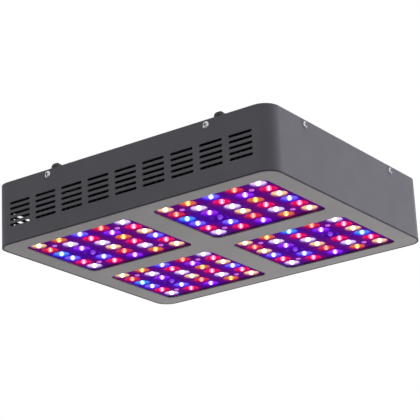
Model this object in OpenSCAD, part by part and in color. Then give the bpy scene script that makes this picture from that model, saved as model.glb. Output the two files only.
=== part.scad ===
// LED grow light: four reflector modules in a slotted steel case with fans on top. The case is a
// side band bent round the corners, a shallow pan let into its lower end and a cover in its upper end.
// Millimetres, +Z up. The origin is the middle of the lower face, where the light comes out.
// Left and right are -X and +X, front and back are -Y and +Y.

/* [Case] */
// Length of the case, left to right
case_l = 406; // [400:1:420]
// Width of the case, front to back
case_w = 348.6; // [346:0.2:360]
// Height of the case, without what stands on its top
case_h = 81; // [80:0.5:90]
// Radius of the upright corners
corner_r = 20; // [14:1:24]
// Thickness of the sheet steel
sheet_t = 1.5; // [1.2:0.1:1.8]

/* [LED modules] */
// Distance between the middles of two windows, left to right
module_dx = 194; // [190:1:196]
// Distance between the middles of two windows, front to back
module_dy = 166.2; // [164:0.2:170]
// Length of a window in the lower face
window_l = 160.5; // [156:0.5:162]
// Width of a window in the lower face
window_w = 134.6; // [130:0.2:136]
// Corner radius of a window
window_r = 9; // [4:1:12]
// Columns of LEDs in a module
led_cols = 5; // [3:1:5]
// Rows of LEDs in a module
led_rows = 6; // [2:2:6]
// Distance between LED columns
led_dx = 32.6; // [26:0.1:32.8]
// Distance between LED rows
led_dy = 21.8; // [21.6:0.1:22.2]
// Shift of the LEDs from the middle of their window, left to right
led_shift = -2.5; // [-3:0.5:3]

/* [Reflector] */
// Depth of the reflector's front below the lower face
recess = 2.5; // [2.2:0.1:3.5]
// Rim diameter of a reflector cup
cup_d = 20.4; // [18:0.2:20.8]
// Diameter of the hole at the bottom of a cup
cup_hole_d = 9.2; // [8.6:0.2:10]
// Depth of a cup
cup_depth = 8; // [7:0.5:9]

/* [Air slots] */
// Length of an air slot
slot_l = 32; // [24:1:36]
// Height of an air slot
slot_h = 3.6; // [2:0.2:4]
// Rows of slots
slot_rows = 5; // [3:1:5]
// Distance between slot rows
slot_dz = 7; // [6:0.5:8]
// Height of the lowest slot row
slot_z = 23.9; // [20:0.1:26]
// Slots along the front and the back
long_slots = 9; // [5:1:9]
// Distance between slots along the front and the back
long_slot_dx = 40.7; // [38:0.1:41]
// Slots along the left end
end_slots = 7; // [3:1:7]
// Distance between slots along the left end
end_slot_dy = 41.7; // [38:0.1:42]

/* [Heat sinks] */
// Length of a heat sink, across its fins
sink_l = 146; // [130:1:150]
// Width of a heat sink, along its fins
sink_w = 128; // [120:1:130]
// Height of a heat sink
sink_h = 35; // [25:1:38]
// Fins on a heat sink
fin_count = 19; // [9:1:21]
// Thickness of a fin
fin_t = 1.8; // [1.2:0.2:2.4]

/* [Fans] */
// Side of the square fan frame
fan_size = 80; // [80:1:82]
// Depth of the fan
fan_depth = 25; // [24:0.5:26]
// Distance between the fan's screws
fan_hole_d = 71.5; // [71:0.5:72]
// Blades on an impeller
fan_blades = 7; // [5:1:9]

/* [Hanging lugs] */
// Distance between lugs, left to right
lug_dx = 244; // [230:1:250]
// Distance between lugs, front to back
lug_dy = 304; // [300:1:308]
// Width of a lug
lug_w = 13; // [12:0.5:16]
// Thickness of a lug
lug_t = 5; // [4:0.5:6]
// Diameter of the hole in a lug
lug_bore = 6; // [5:0.5:6.5]
// Height of the lugs above the case
lug_h = 15; // [14:0.2:18]

/* [Controls] */
// Distance between the two rocker switches
switch_dx = 40; // [36:1:50]
// Distance between the two power sockets
socket_dx = 48; // [44:1:54]
// Tilt of a rocker from level
rocker_tilt = 8; // [5:1:9]

/* [Hidden] */
$fn = 64;

// A node name for each quarter of the case, with its signs along X and Y
QUARTERS = [
    ["front_left", -1, -1],
    ["front_right", 1, -1],
    ["back_left", -1, 1],
    ["back_right", 1, 1]
];
// The two halves of the case, with their sign along X
HALVES = [["left", -1], ["right", 1]];
SIGNS = [-1, 1];

// Height levels
cup_base_z = recess + cup_depth;
board_t = 1.6;
board_top_z = cup_base_z + board_t;
sink_base_t = 5;
cover_t = sheet_t;
cover_z = case_h - cover_t;
fan_z = cover_z - fan_depth;
flange_h = 12;
pan_h = 10;
case_screw_x = 117.5;
case_screw_y = 99;
case_screw_z = case_h - 6.5;

// LED modules
module_border = 7;
module_l = window_l + 2 * module_border;
module_w = window_w + 2 * module_border;
module_r = window_r + 2;
reflector_t = 1.5;
rim_w = 4;
post_d = 7;
stud_d = 3;
stud_x = module_l / 2 - 3.6;
stud_y = module_w / 2 - 3.6;
stud_top_z = board_top_z + 5;
nut_h = 2.4;
nut_w = 5.5;
screw_x = 1.5 * led_dx;
screw_y = (led_rows / 2 - 1) * led_dy;
screw_hole = 0.4;
m3 = 3;
m4 = 4;

// Reflector cups: the radius follows a parabola from the hole to the rim
cup_steps = 4;
function cup_r(h) = sqrt(pow(cup_hole_d / 2, 2)
    + h / cup_depth * (pow(cup_d / 2, 2) - pow(cup_hole_d / 2, 2)));
cup_wall = 0.6;

// LEDs
led_base_d = 8;
led_base_h = 1;
led_ball_r = 3.3;
led_stem_r = 2.6;
led_tip_z = 0.3;

// Fan parts
fan_bore = fan_size - 3.6;
fan_flange_t = 3.5;
fan_tube_t = 1.3;
hub_d = 33;
hub_wall = 1.6;
hub_gap = 1;
shaft_d = 3;
shaft_gap = 0.05;
bearing_d = 9;
bearing_h = 14;
motor_base_d = 36;
motor_base_t = 2.5;
strut_w = 4;
tip_gap = 0.8;
impeller_h = 18.5;
impeller_z = fan_z + motor_base_t + hub_gap;
blade_t = 1.4;
blade_arc_r = 24;
blade_pitch = 42;

// Fan guard
wire_d = 1.6;
guard_rise = 3.6;
guard_rings = 5;
guard_ring_step = 7.2;
guard_eye_r = 3.4;
wire_sides = 8;

// Hanging lugs
lug_r = 4.5;
lug_foot_l = 18;
lug_foot_t = 2;
lug_screw_dy = 9.3;
lug_bore_z = case_h + lug_h - lug_w / 2;

// Leads
lead_sides = 10;

// Controls
control_y = 92;
socket_y = 130;
socket_l = 31;
socket_w = 24;
socket_flange = 2;
socket_cut_l = 27;
socket_cut_w = 20;
socket_depth = 22;
socket_cavity = [24.4, 16.6, 16];
pin_dx = 7;
tab = [4.8, 0.8, 6.5];
switch_l = 21;
switch_w = 15;
switch_flange = 1.6;
switch_cut_l = 18.6;
switch_cut_w = 12.6;
switch_depth = 18;
rocker_l = 16.4;
rocker_w = 9.6;
rocker_side_gap = 0.4;
rocker_pin_d = 2.4;
rocker_pin_gap = 0.05;
rocker_z = case_h - 2.5;

// Drivers
driver_l = 140;
driver_w = 56;
driver_h = 26;
driver_x = module_dx / 2 + 6;
driver_grooves = 5;
driver_screw_dx = 128;

// ---- Shapes that repeat ----

// Rectangle with round corners, about its middle
module round_rect(l, w, r) {
    square([l - 2 * r, w], center = true);
    square([l, w - 2 * r], center = true);
    for (x = SIGNS, y = SIGNS)
        translate([x * (l / 2 - r), y * (w / 2 - r)])
            circle(r);
}

// Half profile of a block whose lower outer edge has radius r
module rolled_profile(half, h, r) {
    translate([0, r])
        square([half, h - r]);
    square([half - r, h]);
    translate([half - r, r])
        circle(r);
}

// Upright block with round corners and a rolled lower edge, as bent sheet has
module rolled_block(l, w, h, r, edge_r) {
    for (x = SIGNS, y = SIGNS)
        translate([x * (l / 2 - r), y * (w / 2 - r), 0])
            rotate_extrude()
                rolled_profile(r, h, edge_r);
    rotate([90, 0, 0])
        linear_extrude(w - 2 * r, center = true)
            for (side = [0, 1])
                mirror([side, 0])
                    rolled_profile(l / 2, h, edge_r);
    rotate([90, 0, 90])
        linear_extrude(l - 2 * r, center = true)
            for (side = [0, 1])
                mirror([side, 0])
                    rolled_profile(w / 2, h, edge_r);
}

// Field of round-ended slots, columns along X and rows along Y
module slot_field(columns, pitch) {
    for (i = [0 : columns - 1], j = [0 : slot_rows - 1])
        translate([(i - (columns - 1) / 2) * pitch, slot_z + j * slot_dz]) {
            square([slot_l - slot_h, slot_h], center = true);
            for (x = SIGNS)
                translate([x * (slot_l - slot_h) / 2, 0])
                    circle(slot_h / 2, $fn = 32);
        }
}

// Places a child at the middle of a module
module at_module(q) {
    translate([q[1] * module_dx / 2, q[2] * module_dy / 2, 0])
        children();
}

// Places a child at every LED of a module
module at_leds() {
    for (i = [0 : led_cols - 1], j = [0 : led_rows - 1])
        translate([led_shift + (i - (led_cols - 1) / 2) * led_dx, (j - (led_rows - 1) / 2) * led_dy, 0])
            children();
}

// Places a child at the four points with the given offsets
module at_corners(dx, dy) {
    for (x = SIGNS, y = SIGNS)
        translate([x * dx, y * dy, 0])
            children();
}

// Places a child at the four screws between the LEDs of a module
module at_screws() {
    translate([led_shift, 0, 0])
        at_corners(screw_x, screw_y)
            children();
}

// Pan-head screw pointing along +Z, with its head below z = 0 and a cross recess
module pan_screw(d, length) {
    head_d = 2.1 * d;
    head_h = 0.6 * d;
    difference() {
        union() {
            rotate_extrude()
                intersection() {
                    translate([0, 1.6 * d - head_h])
                        circle(1.6 * d);
                    translate([0, -head_h])
                        square([head_d / 2, head_h]);
                }
            cylinder(h = length, d = d);
        }
        for (a = [0, 90])
            rotate(a)
                translate([0, 0, -head_h])
                    cube([1.3 * d, 0.3 * d, 1.2 * head_h], center = true);
    }
}

// Bar of wire from point a to point b
module bar(a, b, d) {
    v = b - a;
    translate(a)
        rotate([0, acos(v[2] / norm(v)), atan2(v[1], v[0])])
            rotate(22.5)
                cylinder(h = norm(v), d = d, $fn = wire_sides);
}

// Lead that runs through the points of a list
module lead(points, d) {
    for (i = [1 : len(points) - 1])
        hull()
            for (p = [points[i - 1], points[i]])
                translate(p)
                    sphere(d = d, $fn = lead_sides);
}

// ---- Case ----

// Walls of the case, one band of sheet bent round the corners
module side_band() {
    color("#4a4a50")
        difference() {
            linear_extrude(case_h)
                difference() {
                    round_rect(case_l, case_w, corner_r);
                    round_rect(case_l - 2 * sheet_t, case_w - 2 * sheet_t, corner_r - sheet_t);
                }
            rotate([90, 0, 0])
                linear_extrude(case_w + 2, center = true)
                    slot_field(long_slots, long_slot_dx);
            translate([-case_l / 2, 0, 0])
                rotate([90, 0, 90])
                    linear_extrude(4 * sheet_t, center = true)
                        slot_field(end_slots, end_slot_dy);
            case_screw_places()
                cylinder(h = 8 * sheet_t, d = m4 + screw_hole, center = true);
        }
}

// Shallow pan with the four windows, let into the lower end of the band
module lower_shell() {
    pan_l = case_l - 2 * sheet_t;
    pan_w = case_w - 2 * sheet_t;
    pan_r = corner_r - sheet_t;
    color("#55555b")
        difference() {
            rolled_block(pan_l, pan_w, pan_h, pan_r, sheet_t);
            translate([0, 0, sheet_t])
                linear_extrude(pan_h)
                    round_rect(pan_l - 2 * sheet_t, pan_w - 2 * sheet_t, pan_r - sheet_t);
            for (q = QUARTERS)
                at_module(q)
                    translate([0, 0, -1])
                        linear_extrude(sheet_t + 2)
                            round_rect(window_l, window_w, window_r);
        }
}

// Studs welded onto the lower pan, which hold the modules
module module_studs() {
    color("silver")
        for (q = QUARTERS)
            at_module(q)
                at_corners(stud_x, stud_y)
                    translate([0, 0, sheet_t])
                        cylinder(h = stud_top_z - sheet_t, d = stud_d);
}

// Places a child at each case screw, with +Z pointing into the case
module case_screw_places() {
    for (x = SIGNS, s = SIGNS)
        translate([x * case_screw_x, s * case_w / 2, case_screw_z])
            rotate([s * 90, 0, 0])
                children();
    for (s = SIGNS, y = SIGNS)
        translate([s * case_l / 2, y * case_screw_y, case_screw_z])
            rotate([0, -s * 90, 0])
                children();
}

module case_screws() {
    color("silver")
        case_screw_places()
            pan_screw(m4, 7);
}

module top_cover() {
    gap = 0.2;
    inner_l = case_l - 2 * sheet_t;
    inner_w = case_w - 2 * sheet_t;
    flange_z = cover_z - flange_h;
    color("#4a4a50")
        difference() {
            union() {
                translate([0, 0, cover_z])
                    linear_extrude(cover_t)
                        round_rect(inner_l - 2 * gap, inner_w - 2 * gap, corner_r - sheet_t - gap);
                for (s = SIGNS) {
                    translate([0, s * (inner_w - cover_t) / 2, flange_z + (flange_h + cover_t) / 2])
                        cube([inner_l - 2 * corner_r, cover_t, flange_h + cover_t], center = true);
                    translate([s * (inner_l - cover_t) / 2, 0, flange_z + (flange_h + cover_t) / 2])
                        cube([cover_t, inner_w - 2 * corner_r, flange_h + cover_t], center = true);
                }
            }
            case_screw_places()
                cylinder(h = 8 * sheet_t, d = m4 + screw_hole / 2, center = true);
            translate([0, 0, cover_z - 1])
                linear_extrude(cover_t + 2)
                    cover_holes();
        }
}

// Outlines cut through the top cover
module cover_holes() {
    for (q = QUARTERS) {
        translate([q[1] * module_dx / 2, q[2] * module_dy / 2]) {
            circle(d = fan_bore);
            at_corners(fan_hole_d / 2, fan_hole_d / 2)
                circle(d = m4 + screw_hole);
        }
        translate([q[1] * lug_dx / 2, q[2] * (lug_dy / 2 - lug_screw_dy)])
            circle(d = m4 + screw_hole);
    }
    for (s = SIGNS) {
        translate([s * socket_dx / 2, socket_y])
            square([socket_cut_l, socket_cut_w], center = true);
        translate([s * switch_dx / 2, control_y])
            square([switch_cut_w, switch_cut_l], center = true);
        for (x = SIGNS)
            translate([s * driver_x + x * driver_screw_dx / 2, 0])
                circle(d = m3 + screw_hole);
    }
}

// ---- LED modules ----

module reflector(q) {
    color("#b8b4d8")
        at_module(q)
            difference() {
                union() {
                    translate([0, 0, recess])
                        linear_extrude(reflector_t)
                            round_rect(module_l, module_w, module_r);
                    translate([0, 0, sheet_t])
                        linear_extrude(recess)
                            difference() {
                                round_rect(module_l, module_w, module_r);
                                round_rect(module_l - 2 * rim_w, module_w - 2 * rim_w, module_r - rim_w);
                            }
                    translate([0, 0, recess])
                        at_leds()
                            cylinder(h = cup_depth, r1 = cup_d / 2 + cup_wall, r2 = cup_hole_d / 2 + 1.4);
                    translate([0, 0, recess])
                        at_screws()
                            cylinder(h = cup_depth, d = post_d);
                    translate([0, 0, sheet_t])
                        at_corners(stud_x, stud_y)
                            cylinder(h = cup_base_z - sheet_t, d = post_d);
                }
                translate([0, 0, recess])
                    at_leds()
                        cup_hollow();
                at_screws()
                    cylinder(h = cup_base_z + 1, d = m3 + screw_hole);
                at_corners(stud_x, stud_y)
                    cylinder(h = cup_base_z + 1, d = stud_d + screw_hole);
            }
}

// Inside of one cup, opening downward from its rim at z = 0
module cup_hollow() {
    rotate_extrude()
        polygon(concat(
            [[0, cup_depth + 1], [0, -1], [cup_d / 2, -1]],
            [for (i = [0 : cup_steps]) [cup_r(cup_depth * (1 - i / cup_steps)), cup_depth * i / cup_steps]],
            [[cup_hole_d / 2, cup_depth + 1]]
        ));
}

module led_board(q) {
    color("#202428")
        at_module(q)
            translate([0, 0, cup_base_z])
                linear_extrude(board_t)
                    difference() {
                        round_rect(module_l, module_w, module_r);
                        at_screws()
                            circle(d = m3 + screw_hole);
                        at_corners(stud_x, stud_y)
                            circle(d = stud_d + screw_hole);
                    }
}

// Chip bases, each with a ball lens on a stem that reaches down through the cup
module led_emitters(q) {
    ball_z = led_tip_z + led_ball_r;
    stem_h = cup_base_z - led_base_h / 2 - ball_z;
    color("#f0e8a0")
        at_module(q)
            at_leds() {
                translate([0, 0, cup_base_z - led_base_h])
                    cylinder(h = led_base_h, d = led_base_d);
                translate([0, 0, ball_z])
                    sphere(led_ball_r, $fn = 32);
                translate([0, 0, ball_z])
                    cylinder(h = stem_h, r1 = led_ball_r - 0.1, r2 = led_stem_r);
            }
}

module heat_sink(q) {
    fin_step = (sink_l - fin_t) / (fin_count - 1);
    color("#2a2c30")
        at_module(q)
            translate([0, 0, board_top_z])
                difference() {
                    rotate([90, 0, 0])
                        linear_extrude(sink_w, center = true) {
                            translate([-sink_l / 2, 0])
                                square([sink_l, sink_base_t]);
                            for (i = [0 : fin_count - 1])
                                translate([-sink_l / 2 + i * fin_step, 0])
                                    square([fin_t, sink_h]);
                        }
                    at_screws()
                        translate([0, 0, -1])
                            cylinder(h = sink_base_t, d = m3 + screw_hole / 2);
                }
}

module reflector_screws() {
    color("silver")
        for (q = QUARTERS)
            at_module(q)
                translate([0, 0, recess])
                    at_screws()
                        pan_screw(m3, cup_depth + board_t + 3.5);
}

module module_nuts() {
    color("silver")
        for (q = QUARTERS)
            at_module(q)
                at_corners(stud_x, stud_y)
                    translate([0, 0, board_top_z])
                        difference() {
                            cylinder(h = nut_h, r = nut_w / sqrt(3), $fn = 6);
                            translate([0, 0, -1])
                                cylinder(h = nut_h + 2, d = stud_d + screw_hole / 2);
                        }
}

// ---- Fans ----

module fan_frame(q) {
    color("#1c1c1e")
        at_module(q)
            translate([0, 0, fan_z]) {
                difference() {
                    union() {
                        for (z = [0, fan_depth - fan_flange_t])
                            translate([0, 0, z])
                                linear_extrude(fan_flange_t)
                                    round_rect(fan_size, fan_size, 5);
                        cylinder(h = fan_depth, r = fan_bore / 2 + fan_tube_t);
                    }
                    translate([0, 0, -1])
                        cylinder(h = fan_depth + 2, d = fan_bore);
                    at_corners(fan_hole_d / 2, fan_hole_d / 2)
                        translate([0, 0, -1])
                            cylinder(h = fan_depth + 2, d = m4 + screw_hole);
                }
                linear_extrude(motor_base_t) {
                    circle(d = motor_base_d);
                    for (a = [0, 90])
                        rotate(45 + a)
                            square([fan_bore + fan_tube_t, strut_w], center = true);
                }
                translate([0, 0, motor_base_t])
                    difference() {
                        cylinder(h = bearing_h, d = bearing_d);
                        cylinder(h = bearing_h + 1, d = shaft_d + 2 * shaft_gap);
                    }
            }
}

module fan_impeller(q) {
    color("#26262a")
        at_module(q)
            translate([0, 0, impeller_z]) {
                difference() {
                    cylinder(h = impeller_h, d = hub_d);
                    translate([0, 0, -1])
                        cylinder(h = impeller_h + 1 - hub_wall, d = hub_d - 2 * hub_wall);
                }
                cylinder(h = impeller_h, d = shaft_d);
                for (i = [0 : fan_blades - 1])
                    rotate(360 * i / fan_blades)
                        blade();
            }
}

// Cambered blade that leaves the hub along +X
module blade() {
    tip_r = fan_bore / 2 - tip_gap;
    root_r = hub_d / 2 - hub_wall / 2;
    intersection() {
        translate([root_r, 0, impeller_h / 2])
            rotate([90, 0, 90])
                linear_extrude(tip_r)
                    rotate(blade_pitch)
                        translate([0, -blade_arc_r])
                            difference() {
                                circle(blade_arc_r + blade_t / 2);
                                circle(blade_arc_r - blade_t / 2);
                                translate([-2 * blade_arc_r, -2 * blade_arc_r])
                                    square([4 * blade_arc_r, 2.6 * blade_arc_r]);
                            }
        translate([0, 0, 0.5])
            cylinder(h = impeller_h - 1.5, r = tip_r);
    }
}

module fan_guard(q) {
    ring_z = case_h + wire_d / 2 + guard_rise;
    spoke_z = ring_z - 0.7 * wire_d;
    eye_x = fan_hole_d / sqrt(2);
    bend_x = guard_ring_step * guard_rings + 3;
    foot_z = case_h + wire_d / 2;
    color("#88888c")
        at_module(q) {
            for (i = [1 : guard_rings])
                translate([0, 0, ring_z])
                    wire_ring(i * guard_ring_step);
            for (a = [0 : 3])
                rotate(45 + 90 * a) {
                    bar([guard_ring_step - wire_d, 0, spoke_z], [bend_x + wire_d / 2, 0, spoke_z], wire_d);
                    bar([bend_x, 0, spoke_z], [eye_x - guard_eye_r + wire_d / 4, 0, foot_z], wire_d);
                    translate([eye_x, 0, foot_z])
                        wire_ring(guard_eye_r);
                }
        }
}

// Ring of wire about the origin
module wire_ring(r) {
    rotate_extrude()
        translate([r, 0])
            rotate(22.5)
                circle(d = wire_d, $fn = wire_sides);
}

module fan_screws() {
    color("silver")
        for (q = QUARTERS)
            at_module(q)
                at_corners(fan_hole_d / 2, fan_hole_d / 2)
                    translate([0, 0, case_h + wire_d])
                        mirror([0, 0, 1])
                            pan_screw(m4, wire_d + cover_t + 10);
}

// ---- Hanging lugs ----

module hanging_lug(q) {
    color("#3c3b38")
        translate([q[1] * lug_dx / 2, q[2] * lug_dy / 2, 0])
            mirror([0, q[2] < 0 ? 0 : 1, 0])
                difference() {
                    union() {
                        rotate([90, 0, 0])
                            linear_extrude(lug_t, center = true) {
                                translate([0, case_h + lug_h / 2])
                                    round_rect(lug_w, lug_h, lug_r);
                                translate([-lug_w / 2, case_h])
                                    square([lug_w, lug_h / 2]);
                            }
                        translate([0, (lug_foot_l - lug_t) / 2, case_h])
                            linear_extrude(lug_foot_t)
                                round_rect(lug_w, lug_foot_l, 1.2);
                    }
                    translate([0, 0, lug_bore_z])
                        rotate([90, 0, 0])
                            cylinder(h = 2 * lug_t, d = lug_bore, center = true);
                    translate([0, lug_screw_dy, case_h - 1])
                        cylinder(h = lug_foot_t + 2, d = m4 + screw_hole);
                }
}

module lug_screws() {
    color("silver")
        for (q = QUARTERS)
            translate([q[1] * lug_dx / 2, q[2] * (lug_dy / 2 - lug_screw_dy), case_h + lug_foot_t])
                mirror([0, 0, 1])
                    pan_screw(m4, 7);
}

// ---- Drivers ----

module driver(h) {
    groove = 2;
    color("#8a8c90")
        translate([h[1] * driver_x, 0, cover_z - driver_h / 2])
            difference() {
                rotate([90, 0, 90])
                    linear_extrude(driver_l, center = true)
                        difference() {
                            round_rect(driver_w, driver_h, 3);
                            for (i = [0 : driver_grooves - 1])
                                translate([(i - (driver_grooves - 1) / 2) * 4 * groove, -driver_h / 2])
                                    square([groove, 2 * groove], center = true);
                        }
                for (x = SIGNS)
                    translate([x * driver_screw_dx / 2, 0, 0])
                        cylinder(h = driver_h, d = m3 + screw_hole / 2);
            }
}

module driver_screws() {
    color("silver")
        for (h = HALVES, x = SIGNS)
            translate([h[1] * driver_x + x * driver_screw_dx / 2, 0, case_h])
                mirror([0, 0, 1])
                    pan_screw(m3, 8);
}

// ---- Power sockets ----

// Housing that both sockets share: a flange on the cover and a body below it
module socket_housing() {
    translate([0, 0, case_h])
        linear_extrude(socket_flange)
            round_rect(socket_l, socket_w, 3);
    translate([0, 0, case_h - socket_depth])
        linear_extrude(socket_depth)
            round_rect(socket_cut_l - 0.2, socket_cut_w - 0.2, 2);
}

// D-shaped outline of an appliance connector
module connector_outline(l, w) {
    chamfer = 0.28 * w;
    polygon([
        [-l / 2, -w / 2], [l / 2, -w / 2], [l / 2, w / 2 - chamfer],
        [l / 2 - chamfer, w / 2], [chamfer - l / 2, w / 2], [-l / 2, w / 2 - chamfer]
    ]);
}

module power_inlet() {
    top_z = case_h + socket_flange;
    color("#1e1e20")
        translate([-socket_dx / 2, socket_y, 0]) {
            difference() {
                socket_housing();
                translate([0, 0, top_z - socket_cavity[2]])
                    linear_extrude(socket_cavity[2] + 1)
                        connector_outline(socket_cavity[0], socket_cavity[1]);
            }
            for (i = [-1, 0, 1])
                translate([i * pin_dx - 1, (i == 0 ? 2 : -2) - 2, top_z - socket_cavity[2] - 1])
                    cube([2, 4, socket_cavity[2] - 2]);
            socket_tabs();
        }
}

module power_outlet() {
    top_z = case_h + socket_flange;
    groove = 2.2;
    color("#1e1e20")
        translate([socket_dx / 2, socket_y, 0]) {
            difference() {
                socket_housing();
                translate([0, 0, top_z - socket_cavity[2]])
                    linear_extrude(socket_cavity[2] + 1)
                        difference() {
                            connector_outline(socket_cavity[0], socket_cavity[1]);
                            connector_outline(socket_cavity[0] - 2 * groove, socket_cavity[1] - 2 * groove);
                        }
                for (i = [-1, 0, 1])
                    translate([i * pin_dx - 1.2, (i == 0 ? 2 : -2) - 2.2, top_z - socket_cavity[2]])
                        cube([2.4, 4.4, socket_cavity[2] + 1]);
            }
            socket_tabs();
        }
}

// Solder tab that hangs from z = 0
module solder_tab() {
    translate([0, 0, 0.5 - tab[2] / 2])
        cube(tab, center = true);
}

// Three solder tabs under a socket
module socket_tabs() {
    for (i = [-1, 0, 1])
        translate([i * pin_dx, 0, case_h - socket_depth])
            solder_tab();
}

// ---- Rocker switches ----

// Places a child at a switch
module at_switch(h) {
    translate([h[1] * switch_dx / 2, control_y, 0])
        children();
}

module switch_body(h) {
    inner_l = rocker_l + 2 * rocker_side_gap;
    inner_w = rocker_w + 2 * rocker_side_gap;
    color("#1a1a1c")
        at_switch(h) {
            difference() {
                union() {
                    translate([0, 0, case_h])
                        linear_extrude(switch_flange)
                            round_rect(switch_w, switch_l, 1.5);
                    translate([0, 0, case_h - switch_depth])
                        linear_extrude(switch_depth)
                            round_rect(switch_cut_w - 0.2, switch_cut_l - 0.2, 1);
                }
                translate([-inner_w / 2, -inner_l / 2, case_h - 9])
                    cube([inner_w, inner_l, 12]);
                translate([0, 0, rocker_z])
                    rotate([0, 90, 0])
                        cylinder(h = 2 * switch_w, d = rocker_pin_d + 2 * rocker_pin_gap, center = true);
            }
            for (y = SIGNS)
                translate([0, y * 5, case_h - switch_depth])
                    solder_tab();
        }
}

// Rocker with a dished top on its pivot pin, pressed down at the back
module switch_rocker(h) {
    top = 4.4;
    dish_r = 24;
    dish = 0.8;
    color("#c02020")
        at_switch(h)
            translate([0, 0, rocker_z]) {
                rotate([90, 0, 90])
                    linear_extrude(rocker_w, center = true)
                        rotate(-rocker_tilt)
                            difference() {
                                polygon([
                                    [-rocker_l / 2, -1], [-3, -4], [3, -4], [rocker_l / 2, -1],
                                    [rocker_l / 2 - 0.4, top], [-rocker_l / 2 + 0.4, top]
                                ]);
                                translate([0, top + dish_r - dish])
                                    circle(dish_r, $fn = 96);
                            }
                rotate([0, 90, 0])
                    cylinder(h = switch_cut_w - 0.6, d = rocker_pin_d, center = true);
            }
}

// ---- Leads inside the case ----

module mains_leads() {
    tab_z = case_h - socket_depth - 5;
    low_z = tab_z - 4;
    d = 2.4;
    color("#704020")
        for (s = SIGNS) {
            lead([[s * socket_dx / 2 - s * pin_dx, socket_y - 1.6, tab_z],
                  [s * socket_dx / 2 - s * pin_dx, socket_y - 8, low_z],
                  [s * switch_dx / 2, control_y + 12, low_z],
                  [s * switch_dx / 2, control_y + 7, case_h - switch_depth - 4]], d);
            lead([[s * switch_dx / 2, control_y - 7, case_h - switch_depth - 4],
                  [s * switch_dx / 2, control_y - 20, low_z],
                  [s * switch_dx / 2, 12, low_z],
                  [s * (driver_x - driver_l / 2 - 1.2), 8, cover_z - driver_h / 2]], d);
        }
}

module led_leads() {
    d = 2;
    strip_x = 16;
    color("#a03030")
        for (q = QUARTERS)
            lead([[q[1] * (driver_x - driver_l / 2 - 1), q[2] * 14, cover_z - driver_h + 6],
                  [q[1] * strip_x, q[2] * 16, cover_z - driver_h],
                  [q[1] * strip_x, q[2] * 30, board_top_z + 12],
                  [q[1] * strip_x, q[2] * 40, board_top_z + d / 2]], d);
}

module fan_leads() {
    d = 1.6;
    color("#303030")
        for (q = QUARTERS)
            lead([[q[1] * (module_dx / 2 - 20), q[2] * (module_dy / 2 - fan_size / 2 - 0.8), fan_z + 12],
                  [q[1] * (module_dx / 2 - 26), q[2] * (driver_w / 2 + 6), fan_z + 6],
                  [q[1] * (module_dx / 2 - 30), q[2] * (driver_w / 2 + 0.8), fan_z + 10]], d);
}

// ---- One solid or group of like solids for each name ----

side_band();
lower_shell();
top_cover();
for (q = QUARTERS) {
    reflector(q);
    led_board(q);
    led_emitters(q);
    heat_sink(q);
    fan_frame(q);
    fan_impeller(q);
    fan_guard(q);
    hanging_lug(q);
}
for (h = HALVES) {
    driver(h);
    switch_body(h);
    switch_rocker(h);
}
power_inlet();
power_outlet();
case_screws();
reflector_screws();
module_studs();
module_nuts();
fan_screws();
lug_screws();
driver_screws();
mains_leads();
led_leads();
fan_leads();
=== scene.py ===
"""Looks for the LED grow light: paint, reflectors, lit LEDs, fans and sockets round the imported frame."""
import math

import bmesh
import bpy
from mathutils import Matrix, Vector


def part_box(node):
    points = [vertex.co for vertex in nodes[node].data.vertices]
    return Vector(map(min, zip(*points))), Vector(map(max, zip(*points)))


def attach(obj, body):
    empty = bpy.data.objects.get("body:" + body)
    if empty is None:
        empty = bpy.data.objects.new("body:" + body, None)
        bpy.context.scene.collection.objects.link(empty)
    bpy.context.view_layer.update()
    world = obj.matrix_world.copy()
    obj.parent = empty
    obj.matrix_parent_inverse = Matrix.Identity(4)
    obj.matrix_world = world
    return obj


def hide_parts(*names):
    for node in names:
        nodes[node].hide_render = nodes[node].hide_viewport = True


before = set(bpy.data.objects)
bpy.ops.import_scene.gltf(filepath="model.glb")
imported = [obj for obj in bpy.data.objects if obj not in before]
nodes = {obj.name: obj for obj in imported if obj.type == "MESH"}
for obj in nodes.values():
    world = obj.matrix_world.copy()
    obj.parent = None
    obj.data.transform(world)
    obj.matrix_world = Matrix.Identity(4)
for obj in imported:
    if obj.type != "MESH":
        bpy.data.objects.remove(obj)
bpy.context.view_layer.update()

MM = 0.001
QUARTERS = {"front_left": (-1, -1), "front_right": (1, -1), "back_left": (-1, 1), "back_right": (1, 1)}


# ---- Camera, floor and lamps ----

CAMERA_PLACE = (1.1108, -1.6327, -0.6532)
CAMERA_TURN = (34.262, -19.505, -2.817)  # azimuth, elevation and roll, in degrees
CAMERA_LENS = 143.69
WORLD_LEVEL = 0.33
FLOOR_HALF = 12.0
FLOOR_Z = -3.0


def add_object(name, data):
    """New object in the scene's own collection."""
    made = bpy.data.objects.new(name, data)
    bpy.context.scene.collection.objects.link(made)
    return made


def make_camera():
    """Camera below the light's right front corner, looking up at it."""
    azimuth, elevation, roll = (math.radians(a) for a in CAMERA_TURN)
    back = Vector((math.sin(azimuth) * math.cos(elevation),
                   -math.cos(azimuth) * math.cos(elevation),
                   math.sin(elevation)))
    right = Vector((math.cos(azimuth), math.sin(azimuth), 0))
    up = back.cross(right)
    right, up = (math.cos(roll) * right + math.sin(roll) * up,
                 math.cos(roll) * up - math.sin(roll) * right)
    data = bpy.data.cameras.new("camera")
    data.sensor_width = 36
    data.lens = CAMERA_LENS
    camera = add_object("camera", data)
    camera.matrix_world = Matrix((right, up, back)).transposed().to_4x4()
    camera.location = CAMERA_PLACE
    bpy.context.scene.camera = camera


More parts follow.
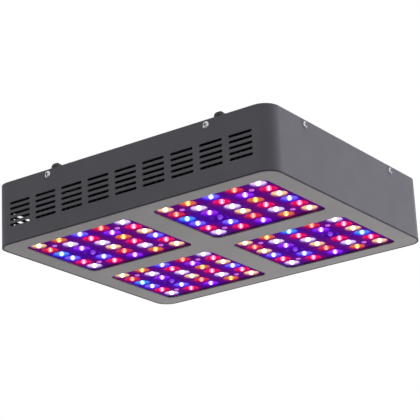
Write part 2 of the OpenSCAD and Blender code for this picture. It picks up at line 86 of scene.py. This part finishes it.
def area_lamp(name, location, target, size, power):
    """Square soft lamp at location, aimed at target."""
    data = bpy.data.lights.new(name, "AREA")
    data.size = size
    data.energy = power
    lamp = add_object(name, data)
    lamp.location = location
    lamp.rotation_mode = "QUATERNION"
    lamp.rotation_quaternion = (Vector(target) - Vector(location)).to_track_quat("-Z", "Y")
    lamp.visible_camera = False
    lamp.visible_glossy = False


def make_world(level):
    """White to the camera, in reflections and through lenses, and plain grey light on everything else."""
    world = bpy.data.worlds.new("studio")
    bpy.context.scene.world = world
    world.use_nodes = True
    tree = world.node_tree
    tree.nodes.clear()
    path = tree.nodes.new("ShaderNodeLightPath")
    seen = tree.nodes.new("ShaderNodeMath")
    seen.operation = "MAXIMUM"
    clear = tree.nodes.new("ShaderNodeMath")
    clear.operation = "MAXIMUM"
    white = tree.nodes.new("ShaderNodeBackground")
    grey = tree.nodes.new("ShaderNodeBackground")
    grey.inputs["Strength"].default_value = level
    mix = tree.nodes.new("ShaderNodeMixShader")
    out = tree.nodes.new("ShaderNodeOutputWorld")
    for background in (white, grey):
        background.inputs["Color"].default_value = (1, 1, 1, 1)
    link = tree.links.new
    link(path.outputs["Is Camera Ray"], seen.inputs[0])
    link(path.outputs["Is Glossy Ray"], seen.inputs[1])
    link(seen.outputs[0], clear.inputs[0])
    link(path.outputs["Is Transmission Ray"], clear.inputs[1])
    link(clear.outputs[0], mix.inputs["Fac"])
    link(grey.outputs[0], mix.inputs[1])
    link(white.outputs[0], mix.inputs[2])
    link(mix.outputs[0], out.inputs["Surface"])


def make_floor():
    """Pale floor under the hanging light, below the camera."""
    mesh = bpy.data.meshes.new("floor")
    corners = [(x * FLOOR_HALF, y * FLOOR_HALF, FLOOR_Z) for x, y in ((-1, -1), (1, -1), (1, 1), (-1, 1))]
    mesh.from_pydata(corners, [], [(0, 1, 2, 3)])
    floor = add_object("floor", mesh)
    mesh.materials.append(coat("floor_paint", (0.86, 0.86, 0.86), 0.9, grain=40, depth=0.02, mottle=0.02))


# ---- Materials ----

GRAIN_HEIGHT = 0.3 * MM
# A finish's roughness varies between these shares of its own value
GLOSS_LOW, GLOSS_HIGH = 0.88, 1.12
LIT_GLOSS_LOW, LIT_GLOSS_HIGH = 0.85, 1.15


def srgb(r, g, b):
    """Linear colour from 0-255 display values."""
    return tuple(((c / 255 + 0.055) / 1.055) ** 2.4 if c > 10 else c / 255 / 12.92 for c in (r, g, b))


def new_material(name):
    """New material, its node tree and its shader."""
    material = bpy.data.materials.new(name)
    material.use_nodes = True
    return material, material.node_tree, material.node_tree.nodes["Principled BSDF"]


def noise(tree, scale, detail=3.0, stretch=(1, 1, 1)):
    """Noise over the object's own coordinates, with scale in bumps a metre."""
    place = tree.nodes.new("ShaderNodeTexCoord")
    mapping = tree.nodes.new("ShaderNodeMapping")
    mapping.inputs["Scale"].default_value = stretch
    texture = tree.nodes.new("ShaderNodeTexNoise")
    texture.inputs["Scale"].default_value = scale
    texture.inputs["Detail"].default_value = detail
    tree.links.new(place.outputs["Object"], mapping.inputs["Vector"])
    tree.links.new(mapping.outputs["Vector"], texture.inputs["Vector"])
    return texture.outputs["Fac"]


def spread(tree, value, low, high, start=0.3, end=0.7):
    """Maps a noise value onto the range low to high."""
    ramp = tree.nodes.new("ShaderNodeMapRange")
    ramp.inputs["From Min"].default_value = start
    ramp.inputs["From Max"].default_value = end
    ramp.inputs["To Min"].default_value = low
    ramp.inputs["To Max"].default_value = high
    tree.links.new(value, ramp.inputs["Value"])
    return ramp.outputs["Result"]


def coat(name, color, roughness, metallic=0.0, grain=900, depth=0.1, mottle=0.06, patch=14,
         specular=0.5, stretch=(1, 1, 1), emission=None, glow=0.0):
    """Finish with a fine grain in its height, and soft patches in its colour and gloss."""
    material, tree, shader = new_material(name)
    tone = tree.nodes.new("ShaderNodeMix")
    tone.data_type = "RGBA"
    tone.inputs["A"].default_value = (*[c * (1 - mottle) for c in color], 1)
    tone.inputs["B"].default_value = (*[min(c * (1 + mottle), 1) for c in color], 1)
    tree.links.new(spread(tree, noise(tree, patch), 0, 1), tone.inputs["Factor"])
    tree.links.new(tone.outputs["Result"], shader.inputs["Base Color"])
    gloss = spread(tree, noise(tree, patch * 2.3), roughness * GLOSS_LOW, min(roughness * GLOSS_HIGH, 1))
    tree.links.new(gloss, shader.inputs["Roughness"])
    bump = tree.nodes.new("ShaderNodeBump")
    bump.inputs["Strength"].default_value = depth
    bump.inputs["Distance"].default_value = GRAIN_HEIGHT
    tree.links.new(noise(tree, grain, 2.0, stretch), bump.inputs["Height"])
    tree.links.new(bump.outputs["Normal"], shader.inputs["Normal"])
    shader.inputs["Metallic"].default_value = metallic
    shader.inputs["Specular IOR Level"].default_value = specular
    if emission:
        shader.inputs["Emission Color"].default_value = (*emission, 1)
        shader.inputs["Emission Strength"].default_value = glow
    return material


def shade_below(material, height, level):
    """Paints shade into a finish below a height, darkening it to level times its colour: painted shade in
    the seam under a folded edge.
    """
    tree = material.node_tree
    color = tree.nodes["Principled BSDF"].inputs["Base Color"]
    place = tree.nodes.new("ShaderNodeTexCoord")
    axes = tree.nodes.new("ShaderNodeSeparateXYZ")
    darken = tree.nodes.new("ShaderNodeMix")
    darken.data_type = "RGBA"
    darken.blend_type = "MULTIPLY"
    darken.inputs["Factor"].default_value = 1.0
    tree.links.new(place.outputs["Object"], axes.inputs["Vector"])
    shade = spread(tree, axes.outputs["Z"], level, 1, height * 0.85, height)
    tree.links.new(color.links[0].from_socket, darken.inputs["A"])
    tree.links.new(shade, darken.inputs["B"])
    tree.links.new(darken.outputs["Result"], color)


def dress(material, *names):
    """Gives a material to CAD nodes."""
    for name in names:
        mesh = nodes[name].data
        mesh.materials.clear()
        mesh.materials.append(material)


def quarter_nodes(kind):
    """Names of the four nodes of a kind, one for each module."""
    return [f"{kind}_{quarter}" for quarter in QUARTERS]


# ---- LED modules ----

# LED kinds: colour of the light painted in the cup, of the lens's core and of the light painted on the
# plate, and the core's power
LED_KINDS = {
    "W": (srgb(235, 200, 245), srgb(255, 246, 255), srgb(85, 35, 150), 1.3),
    "Y": (srgb(245, 200, 160), srgb(255, 244, 210), srgb(120, 20, 85), 1.3),
    "O": (srgb(215, 105, 65), srgb(255, 215, 120), srgb(140, 5, 75), 1.2),
    "S": (srgb(212, 42, 75), srgb(255, 165, 130), srgb(150, 0, 70), 1.2),
    "R": (srgb(235, 20, 95), srgb(255, 175, 210), srgb(165, 0, 85), 1.2),
    "V": (srgb(150, 40, 235), srgb(235, 205, 255), srgb(85, 0, 190), 1.4),
    "B": (srgb(120, 100, 245), srgb(225, 240, 255), srgb(60, 15, 215), 1.6),
    "C": (srgb(75, 140, 250), srgb(200, 238, 255), srgb(35, 30, 215), 1.6),
    "-": (srgb(75, 8, 145), srgb(110, 50, 170), srgb(60, 0, 140), 0.7),
}
# The LEDs of a module, each row from left to right, rows from front to back:
# W white, Y warm white, O amber, S deep orange, R red, V violet, B blue, C light blue, - infra-red
LED_ROWS = ("YOBSW", "SWRVR", "CVWOY", "B-YRB", "RBSWR", "WRVOY")
# LEDs that differ in one module, by (row, column)
LED_CHANGES = {"back_right": {(0, 2): "C", (2, 0): "Y", (2, 3): "-", (3, 4): "C"}}
COLUMNS = len(LED_ROWS[0])
ROWS = len(LED_ROWS)

# Cup and lens sizes, the same as the frame's
CUP_R = 10.2 * MM
HOLE_R = 4.6 * MM
CUP_DEPTH = 8.0 * MM
FRONT_Z = 2.5 * MM
RIM_W = 4.0 * MM
BASE_R = 4.0 * MM
BASE_H = 1.0 * MM
BALL_R = 3.3 * MM
BALL_Z = 3.6 * MM

# Sizes that only the looks have; the lens's glowing stem and the core's long top are a painted reflection of
# the LED up its cup's far wall
STEM_R = 1.8 * MM
STEM_UP = 3.0 * MM
PLATE_WALL = 0.6 * MM
PLATE_GAP = 0.02 * MM
BASE_GAP = 0.05 * MM
CORE_R = 1.1 * MM
CORE_DOWN = 1.4 * MM
CORE_UP = 4.0 * MM
CORE_TOP_R = 0.5 * MM

# How finely cups and lenses are cut
CUP_RINGS = 8
CELL_STEPS = (8, 12, 8, 12)
LENS_SIDES = 24
BALL_RINGS = 7
BALL_TURN = math.radians(100)
SAME_POINT = 1e-6
SAME_LINE = 1e-5

# Painted light on the plate: how far an LED's light falls on it, and where it is at its fullest
SPILL_REACH = 7 * MM
FULL_SPILL = 0.3
# Glow strengths: of the light painted in the cups, and of the lenses and cores, which are the LEDs' own
# light
CUP_GLOW = 1.1
LENS_GLOW = 0.8
CORE_GLOW = 2
# Painted light down a cup from its rim at 0 to its hole at 1: (place, share of the LED's light in the cup,
# share of the spill's)
CUP_STOPS = ((0, 0, 1), (1, 0.04, 0.5), (0.12, 0.18, 0.82), (0.32, 1, 0), (0.6, 0.8, 0))
# Up a lens: its glow falls round the ball, and again at the neck and the base
BALL_FALL = 0.3
NECK_GLOW = 0.4
BASE_GLOW = 0.3


def led_grid(quarter):
    """Middle of a module's LEDs, and their spacing along X and Y."""
    low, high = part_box(f"led_emitters_{quarter}")
    middle = (low + high) / 2
    return middle, (high.x - low.x - 2 * BASE_R) / (COLUMNS - 1), (high.y - low.y - 2 * BASE_R) / (ROWS - 1)


def led_places(quarter):
    """(kind, x, y) of each LED of a module."""
    middle, dx, dy = led_grid(quarter)
    changes = LED_CHANGES.get(quarter, {})
    for j, row in enumerate(LED_ROWS):
        y = middle.y + (j - (ROWS - 1) / 2) * dy
        for i, kind in enumerate(row):
            yield changes.get((j, i), kind), middle.x + (i - (COLUMNS - 1) / 2) * dx, y


def lit_surface(name, attribute, stops, strength, base, roughness, metallic):
    """Mirror-like surface that also glows: its attribute runs along a ramp of colours. On the cups the glow
    is painted light of the LEDs, on the lenses the LEDs' own light.
    """
    material, tree, shader = new_material(name)
    level = tree.nodes.new("ShaderNodeAttribute")
    level.attribute_name = attribute
    ramp = tree.nodes.new("ShaderNodeValToRGB")
    elements = ramp.color_ramp.elements
    for n, (place, color) in enumerate(stops):
        stop = elements[n] if n < 2 else elements.new(place)
        stop.position = place
        stop.color = (*color, 1)
    tree.links.new(level.outputs["Fac"], ramp.inputs["Fac"])
    tree.links.new(ramp.outputs["Color"], shader.inputs["Emission Color"])
    shader.inputs["Emission Strength"].default_value = strength
    shader.inputs["Base Color"].default_value = (*base, 1)
    shader.inputs["Metallic"].default_value = metallic
    gloss = spread(tree, noise(tree, 500), roughness * LIT_GLOSS_LOW, roughness * LIT_GLOSS_HIGH)
    tree.links.new(gloss, shader.inputs["Roughness"])
    return material


def plate_with_painted_light():
    """Reflector plate between the cups, with the spill of the LEDs round each point painted on as glow, over
    a violet base that is painted light on the silver plate.
    """
    material, tree, shader = new_material("reflector_plate")
    attribute = tree.nodes.new("ShaderNodeAttribute")
    attribute.attribute_name = "spill"
    tree.links.new(attribute.outputs["Color"], shader.inputs["Emission Color"])
    tree.links.new(spread(tree, noise(tree, 260, 4.0), 0.8, 1.6), shader.inputs["Emission Strength"])
    # Violet base colour: painted light of the LEDs on a silver plate, not the plate's own colour
    shader.inputs["Base Color"].default_value = (*srgb(50, 8, 90), 1)
    shader.inputs["Specular IOR Level"].default_value = 0.0
    tree.links.new(spread(tree, noise(tree, 300), 0.3, 0.42), shader.inputs["Roughness"])
    return material


def cell_edge(angle, dx, dy):
    """Point on the edge of an LED's cell, dx by dy, in the direction angle."""
    x, y = math.cos(angle), math.sin(angle)
    reach = min(dx / 2 / max(abs(x), 1e-9), dy / 2 / max(abs(y), 1e-9))
    return x * reach, y * reach


def cell_angles(dx, dy):
    """Directions round a cup, with the four corners of its cell among them."""
    corner = math.atan2(dy, dx)
    bounds = [-corner, corner, math.pi - corner, math.pi + corner, 2 * math.pi - corner]
    angles = []
    for (start, end), count in zip(zip(bounds, bounds[1:]), CELL_STEPS):
        angles += [start + (end - start) * k / count for k in range(count)]
    return angles


def cup_radius(share):
    """Radius of a cup at a share of its height, from 0 at the hole to 1 at the rim, on a parabola."""
    return math.sqrt(HOLE_R ** 2 + share * (CUP_R ** 2 - HOLE_R ** 2))


def spill_color(x, y, leds):
    """Colour of the light that the LEDs near (x, y) throw on the plate."""
    total = [0.0, 0.0, 0.0]
    weight = 0.0
    for kind, lx, ly in leds:
        near = 1 / (1 + ((x - lx) ** 2 + (y - ly) ** 2) / SPILL_REACH ** 2) ** 2
        weight += near
        for k in range(3):
            total[k] += near * LED_KINDS[kind][2][k]
    shade = min(weight / FULL_SPILL, 1)
    return [shade * (c / weight) for c in total]


def add_border(bm, grid, low, high):
    """Border round a plate's cells, which steps down onto the back of the case's lower face."""
    middle, dx, dy = grid
    sides = [(middle.x - COLUMNS * dx / 2, middle.x + COLUMNS * dx / 2),
             (middle.y - ROWS * dy / 2, middle.y + ROWS * dy / 2)]
    edge = [e for e in bm.edges if e.is_boundary and any(
        all(abs(v.co[axis] - side) < SAME_LINE for v in e.verts) for axis in (0, 1) for side in sides[axis])]
    back_z = low.z + PLATE_GAP
    for inset, z in ((RIM_W, FRONT_Z), (RIM_W, back_z), (0, back_z)):
        grown = bmesh.ops.extrude_edge_only(bm, edges=edge)["geom"]
        new_sides = [(low[axis] + inset, high[axis] - inset) for axis in (0, 1)]
        for vert in [g for g in grown if isinstance(g, bmesh.types.BMVert)]:
            for axis in (0, 1):
                (old_low, old_high), (new_low, new_high) = sides[axis], new_sides[axis]
                share = (vert.co[axis] - old_low) / (old_high - old_low)
                vert.co[axis] = new_low + share * (new_high - new_low)
            vert.co.z = z
        edge = [g for g in grown if isinstance(g, bmesh.types.BMEdge)]
        sides = new_sides


def to_piece(bm, name, materials):
    """Object on the case from a bmesh, which is freed."""
    mesh = bpy.data.meshes.new(name)
    bm.to_mesh(mesh)
    bm.free()
    for material in materials:
        mesh.materials.append(material)
    piece = add_object(name, mesh)
    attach(piece, "case")
    return piece


def make_reflector(quarter, materials):
    """Reflector plate with its cups, closed at the back, in place of the frame's node."""
    node = f"reflector_{quarter}"
    low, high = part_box(node)
    leds = list(led_places(quarter))
    grid = led_grid(quarter)
    _, dx, dy = grid
    angles = cell_angles(dx, dy)
    bm = bmesh.new()
    glow = bm.verts.layers.float.new("glow")
    spill = bm.verts.layers.float_color.new("spill")

    def ring(cx, cy, points, z, level):
        made = []
        for px, py in points:
            vert = bm.verts.new((cx + px, cy + py, z))
            vert[glow] = level
            made.append(vert)
        return made

    def bridge(outer, inner, slot):
        count = len(outer)
        for k in range(count):
            face = bm.faces.new((outer[k], inner[k], inner[(k + 1) % count], outer[(k + 1) % count]))
            face.material_index = slot
            face.smooth = True

    kinds = list(LED_KINDS)
    for kind, cx, cy in leds:
        outer = ring(cx, cy, [cell_edge(a, dx, dy) for a in angles], FRONT_Z, 0)
        for step in range(CUP_RINGS + 1):
            share = 1 - step / CUP_RINGS
            radius = cup_radius(share)
            points = [(radius * math.cos(a), radius * math.sin(a)) for a in angles]
            depth = CUP_DEPTH * (1 - share)
            inner = ring(cx, cy, points, FRONT_Z + depth, depth / CUP_DEPTH)
            bridge(outer, inner, 0 if step == 0 else 1 + kinds.index(kind))
            outer = inner
    bmesh.ops.remove_doubles(bm, verts=bm.verts, dist=SAME_POINT)
    add_border(bm, grid, low, high)
    for vert in bm.verts:
        vert[spill] = (*spill_color(vert.co.x, vert.co.y, leds), 1)
    bm.normal_update()
    piece = to_piece(bm, f"reflector_plate_{quarter}", materials)
    solid = piece.modifiers.new("wall", "SOLIDIFY")
    solid.thickness = PLATE_WALL
    solid.offset = -1
    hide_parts(node)


def bulb(radius, middle_z, top_z, top_r):
    """(radius, height, glow) up a round-nosed shape that narrows to top_r at top_z."""
    points = []
    for n in range(BALL_RINGS + 1):
        turn = BALL_TURN * n / BALL_RINGS
        level = 1 - BALL_FALL * n / BALL_RINGS
        points.append((radius * math.sin(turn), middle_z - radius * math.cos(turn), level))
    points.append((top_r, top_z, NECK_GLOW))
    return points


def lens_profile():
    """Lens and base of an LED, from the tip to the back of the base."""
    back_z = FRONT_Z + CUP_DEPTH
    base = [(STEM_R, back_z - BASE_H, BASE_GLOW),
            (BASE_R, back_z - BASE_H, BASE_GLOW),
            (BASE_R, back_z - BASE_GAP, 0)]
    # The glowing stem up from the ball is painted light: it stands in for the LED's reflection up its cup's
    # far wall
    return bulb(BALL_R, BALL_Z, BALL_Z + STEM_UP, STEM_R) + base


def core_profile():
    """Bright filament of light inside a lens; its long top is part of the painted reflection up the cup."""
    return bulb(CORE_R, BALL_Z - CORE_DOWN, BALL_Z + CORE_UP, CORE_TOP_R)


def make_lenses(quarter, materials):
    """Lens with its bright core and base, for every LED of a module, in place of the frame's node."""
    node = f"led_emitters_{quarter}"
    kinds = list(LED_KINDS)
    turns = [2 * math.pi * k / LENS_SIDES for k in range(LENS_SIDES)]
    bm = bmesh.new()
    glow = bm.verts.layers.float.new("glow")

    def turned(profile, cx, cy, slot):
        rings = []
        for radius, z, level in profile:
            verts = [bm.verts.new((cx + radius * math.cos(a), cy + radius * math.sin(a), z))
                     for a in (turns if radius else turns[:1])]
            for vert in verts:
                vert[glow] = level
            rings.append(verts)
        for lower, upper in zip(rings, rings[1:]):
            for k in range(LENS_SIDES):
                n = (k + 1) % LENS_SIDES
                corners = [lower[0], upper[n], upper[k]] if len(lower) == 1 else [
                    lower[k], lower[n], upper[n], upper[k]]
                face = bm.faces.new(corners)
                face.material_index = slot
                face.smooth = True
        bm.faces.new(rings[-1]).material_index = slot

    for kind, cx, cy in led_places(quarter):
        slot = kinds.index(kind)
        turned(lens_profile(), cx, cy, slot)
        turned(core_profile(), cx, cy, len(kinds) + slot)
    piece = to_piece(bm, f"led_lenses_{quarter}", materials)
    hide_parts(node)


def lens_shell(name, cup_light, core):
    """Clear lens that glows at its base in the colour of its LED's light in the cup, and nearer the core's
    at its tip.
    """
    tip = [(w + c) / 2 for w, c in zip(cup_light, core)]
    tint = [0.5 + 0.5 * w for w in cup_light]
    shell = lit_surface(name, "glow", ((0, cup_light), (1, tip)), LENS_GLOW, tint, 0.06, 0.0)
    shader = shell.node_tree.nodes["Principled BSDF"]
    shader.inputs["Transmission Weight"].default_value = 0.9
    shader.inputs["IOR"].default_value = 1.2
    return shell


def make_modules():
    """Reflector and lenses of the four modules, in a material for each kind of LED."""
    cups = []
    lenses = []
    cores = []
    for n, (cup_light, core, spill, power) in enumerate(LED_KINDS.values()):
        stops = [(place, [own * w + other * s for w, s in zip(cup_light, spill)])
                 for place, own, other in CUP_STOPS]
        # The cups are silver: their tinted base and their glow are painted light of the LEDs
        cups.append(lit_surface(f"cup_{n}", "glow", stops, CUP_GLOW, [c * 0.15 for c in cup_light], 0.25, 1.0))
        lenses.append(lens_shell(f"lens_{n}", cup_light, core))
        cores.append(coat(f"core_{n}", core, 0.4, depth=0.02, emission=core, glow=CORE_GLOW * power))
    plate = plate_with_painted_light()
    for quarter in QUARTERS:
        make_reflector(quarter, [plate, *cups])
        make_lenses(quarter, lenses + cores)


# ---- Case ----

# Case and case screw sizes, the same as the frame's
CASE_L = 406.0 * MM
CASE_W = 348.6 * MM
SCREW_X = 117.5 * MM
SCREW_Y = 99.0 * MM
SCREW_Z = 74.5 * MM
HEAD_H = 2.4 * MM

# Painted shade filling a screw's cross, a hair smaller than the cross, and how far it lies below the head's
# top
CROSS_L = 5.1 * MM
CROSS_W = 1.1 * MM
CROSS_DEPTH = 1.4 * MM
SHADOW_TOP = 0.3 * MM

# Painted shade in the seam at the foot of the walls: its height, and its tone as a share of the paint's
SEAM_SHADE_H = 1.3 * MM
SEAM_SHADE_TONE = 0.25


def screw_places():
    """(foot, direction out of the case) of each case screw, two on every side."""
    for x in (-1, 1):
        for side in (-1, 1):
            yield Vector((x * SCREW_X, side * CASE_W / 2, SCREW_Z)), Vector((0, side, 0))
    for y in (-1, 1):
        for side in (-1, 1):
            yield Vector((side * CASE_L / 2, y * SCREW_Y, SCREW_Z)), Vector((side, 0, 0))


def make_screw_shadows():
    """Dark floors in the crosses of the case screws, as painted shade in their recesses."""
    bm = bmesh.new()
    arm, half = CROSS_L / 2, CROSS_W / 2
    outline = [(half, half), (half, arm), (-half, arm), (-half, half), (-arm, half), (-arm, -half),
               (-half, -half), (-half, -arm), (half, -arm), (half, -half), (arm, -half), (arm, half)]
    for foot, out in screw_places():
        across = out.cross(Vector((0, 0, 1)))
        rings = []
        for depth in (SHADOW_TOP, CROSS_DEPTH):
            level = foot + out * (HEAD_H - depth)
            rings.append([bm.verts.new(level + across * u + Vector((0, 0, v))) for u, v in outline])
        top, bottom = rings
        count = len(outline)
        for k in range(count):
            bm.faces.new((top[k], top[(k + 1) % count], bottom[(k + 1) % count], bottom[k]))
        bm.faces.new(top)
        bm.faces.new(bottom[::-1])
    bmesh.ops.recalc_face_normals(bm, faces=bm.faces)
    # Dark finish that stands in for the shade in the cross recesses
    cross_shade = coat("screw_cross_painted_shade", srgb(30, 24, 26), 0.8, depth=0.05, specular=0.1)
    piece = to_piece(bm, "screw_shadows", [cross_shade])


def powder_coat(name, color):
    """Dull grey paint with a fine grain."""
    return coat(name, color, 0.62, grain=700, depth=0.25, mottle=0.05, specular=0.2)


def dress_frame():
    """Finishes of the frame's own nodes."""
    wall_color = srgb(114, 112, 120)
    dress(powder_coat("case_powder_coat", wall_color), "top_cover")
    band_paint_with_seam_shade = powder_coat("band_powder_coat_seam_shade", wall_color)
    # The band's paint gets a line of painted shade along the seam at its foot
    shade_below(band_paint_with_seam_shade, SEAM_SHADE_H, SEAM_SHADE_TONE)
    dress(band_paint_with_seam_shade, "side_band")
    dress(powder_coat("pan_powder_coat", srgb(119, 116, 117)), "lower_shell")
    dress(coat("lug_paint", srgb(62, 60, 55), 0.5, depth=0.1), *quarter_nodes("hanging_lug"))
    steel = coat("screw_steel", srgb(205, 205, 210), 0.2, metallic=1.0, grain=2500, depth=0.06)
    dress(steel, "case_screws", "fan_screws", "lug_screws", "driver_screws", "module_nuts", "module_studs")
    # Reflector screws tinted and glowing violet: painted light of the LEDs on them
    dress(coat("screws_painted_led_light", srgb(190, 120, 205), 0.35, metallic=0.6, depth=0.05,
               emission=srgb(195, 75, 215), glow=0.6), "reflector_screws")
    dress(coat("anodised_sink", srgb(42, 42, 46), 0.45, metallic=0.7, stretch=(8, 1, 8), depth=0.1),
          *quarter_nodes("heat_sink"))
    dress(coat("board_mask", srgb(26, 28, 34), 0.45, depth=0.03), *quarter_nodes("led_board"))
    dress(coat("fan_plastic", srgb(30, 30, 32), 0.5, depth=0.12), *quarter_nodes("fan_frame"))
    dress(coat("impeller_plastic", srgb(38, 38, 41), 0.38, depth=0.06), *quarter_nodes("fan_impeller"))
    dress(coat("guard_wire", srgb(175, 176, 180), 0.25, metallic=1.0, depth=0.05),
          *quarter_nodes("fan_guard"))
    dress(coat("driver_aluminium", srgb(170, 172, 176), 0.4, metallic=0.9, stretch=(1, 12, 12), depth=0.08),
          "driver_left", "driver_right")
    dress(coat("socket_plastic", srgb(26, 26, 28), 0.4, depth=0.1),
          "power_inlet", "power_outlet", "switch_body_left", "switch_body_right")
    dress(coat("rocker_plastic", srgb(165, 22, 24), 0.3, depth=0.04),
          "switch_rocker_left", "switch_rocker_right")
    dress(coat("mains_insulation", srgb(120, 72, 40), 0.45, depth=0.05), "mains_leads")
    dress(coat("led_insulation", srgb(150, 34, 30), 0.45, depth=0.05), "led_leads")
    dress(coat("fan_insulation", srgb(30, 30, 32), 0.45, depth=0.05), "fan_leads")


make_camera()
make_world(WORLD_LEVEL)
make_floor()
area_lamp("right_lamp", (1.9, 1.9, 0.1), (0, 0, 0.04), size=1.2, power=33)
area_lamp("lower_lamp", (0.3, 1.2, -1.25), (0, 0, 0), size=1.2, power=43)
area_lamp("upper_lamp", (0.4, 0.9, 1.9), (0, 0, 0.08), size=1.4, power=40)
dress_frame()
make_modules()
make_screw_shadows()

scene = bpy.context.scene
scene.view_settings.view_transform = "Standard"

bpy.context.view_layer.update()
